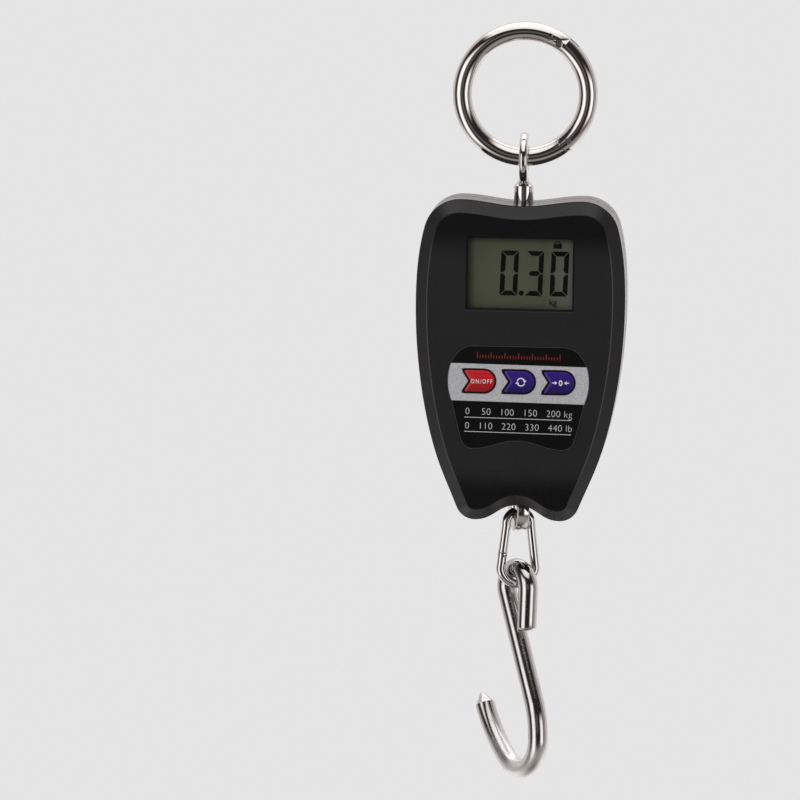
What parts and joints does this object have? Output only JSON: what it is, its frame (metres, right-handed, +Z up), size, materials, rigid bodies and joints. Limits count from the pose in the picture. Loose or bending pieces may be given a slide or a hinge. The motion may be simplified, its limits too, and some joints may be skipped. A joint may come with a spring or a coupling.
{
  "type": "digital hanging scale",
  "caption": "Hand-sized digital hanging scale with a spring-gate ring, black plastic case, display, three keys, and a chain link and hook below.",
  "frame": {"origin": "the point inside the top of the ring where the scale hangs", "axes": "+Z up, -Y towards the side with the display and keys, +X to the right seen from that side"},
  "size_m": [0.0744, 0.037, 0.2697],
  "materials": {
    "ring_steel": "bright nickel plating with fine scratches",
    "gate_steel": "bright nickel plating with fine scratches",
    "pin_steel": "plain turned steel",
    "eye_bolt_steel": "nickel plating",
    "nut_steel": "zinc plating",
    "cell_aluminium": "milled",
    "gauge_foil": "amber film",
    "lead_vinyl": "vinyl covering",
    "case_plastic": "moulded black plastic with a fine texture",
    "seal_rubber": "soft black seal",
    "screw_steel": "dark zinc plating",
    "lens_acrylic": "clear acrylic, slightly smoked",
    "lcd_face": "olive grey display with dark figures",
    "light_guide": "milky acrylic",
    "holder_plastic": "white moulded plastic",
    "strip_rubber": "banded contact rubber",
    "board_green": "green lacquered glass fibre",
    "switch_black": "black plastic switch bodies",
    "chip_black": "black moulded package",
    "component_tan": "ceramic chips and a sounder",
    "label_film": "printed film, black with a silver band",
    "key_red": "red moulded rubber with white lettering",
    "key_indigo": "indigo moulded rubber with white signs",
    "plunger_white": "white nylon",
    "cell_wrap": "printed wrap",
    "contact_nickel": "nickel plating",
    "door_plastic": "moulded black plastic",
    "link_steel": "zinc plating",
    "hook_steel": "nickel plating with fine pitting"
  },
  "bodies": {
    "ring": {"ring_body": "ring_steel", "gate_rivet": "pin_steel"},
    "gate": {"ring_gate": "gate_steel", "latch_pin": "pin_steel", "gate_plunger": "pin_steel", "gate_spring": "pin_steel"},
    "case": {"upper_eye_bolt": "eye_bolt_steel", "lower_eye_bolt": "eye_bolt_steel", "upper_lock_nut": "nut_steel", "lower_lock_nut": "nut_steel", "load_cell": "cell_aluminium", "strain_gauges": "gauge_foil", "gauge_leads": "lead_vinyl", "front_shell": "case_plastic", "rear_shell": "case_plastic", "case_seal": "seal_rubber", "case_screws": "screw_steel", "lcd_lens": "lens_acrylic", "lcd_glass": "lcd_face", "lcd_back_light": "light_guide", "lcd_holder": "holder_plastic", "contact_strip": "strip_rubber", "main_board": "board_green", "board_screws": "screw_steel", "key_switches": "switch_black", "controller_chip": "chip_black", "board_components": "component_tan", "label_sheet": "label_film", "battery_left": "cell_wrap", "battery_right": "cell_wrap", "battery_contacts": "contact_nickel", "battery_springs": "contact_nickel", "battery_leads": "lead_vinyl"},
    "on_off_key": {"key_on_off": "key_red", "plunger_on_off": "plunger_white"},
    "unit_key": {"key_unit": "key_indigo", "plunger_unit": "plunger_white"},
    "zero_key": {"key_zero": "key_indigo", "plunger_zero": "plunger_white"},
    "door": {"battery_door": "door_plastic"},
    "link": {"chain_link": "link_steel"},
    "hook": {"hook": "hook_steel"}
  },
  "joints": [
    {"name": "gate_hinge", "type": "hinge", "parent": "ring", "child": "gate", "pos_m": [0.01556, 0, -0.03511], "axis": [0, -1, 0], "range_deg": [0, 28], "stiffness_Nm_per_rad": 0.05, "springref_deg": -20.05},
    {"name": "case_swing", "type": "hinge", "parent": "ring", "child": "case", "pos_m": [0, 0, -0.0414], "axis": [1, 0, 0], "range_deg": [-110, 110]},
    {"name": "on_off_press", "type": "slide", "parent": "case", "child": "on_off_key", "axis": [0, 1, 0], "range_m": [0, 0.0006], "stiffness_N_per_m": 2500},
    {"name": "unit_press", "type": "slide", "parent": "case", "child": "unit_key", "axis": [0, 1, 0], "range_m": [0, 0.0006], "stiffness_N_per_m": 2500},
    {"name": "zero_press", "type": "slide", "parent": "case", "child": "zero_key", "axis": [0, 1, 0], "range_m": [0, 0.0006], "stiffness_N_per_m": 2500},
    {"name": "door_hinge", "type": "hinge", "parent": "case", "child": "door", "pos_m": [0, 0.0141, -0.1261], "axis": [-1, 0, 0], "range_deg": [0, 70]},
    {"name": "link_swing", "type": "hinge", "parent": "case", "child": "link", "pos_m": [0, 0, -0.1685], "axis": [0.9613, 0.2756, 0], "range_deg": [-70, 70]},
    {"name": "hook_swing", "type": "hinge", "parent": "link", "child": "hook", "pos_m": [0, 0, -0.1948], "axis": [-0.7986, -0.6018, 0], "range_deg": [-70, 70]}
  ]
}
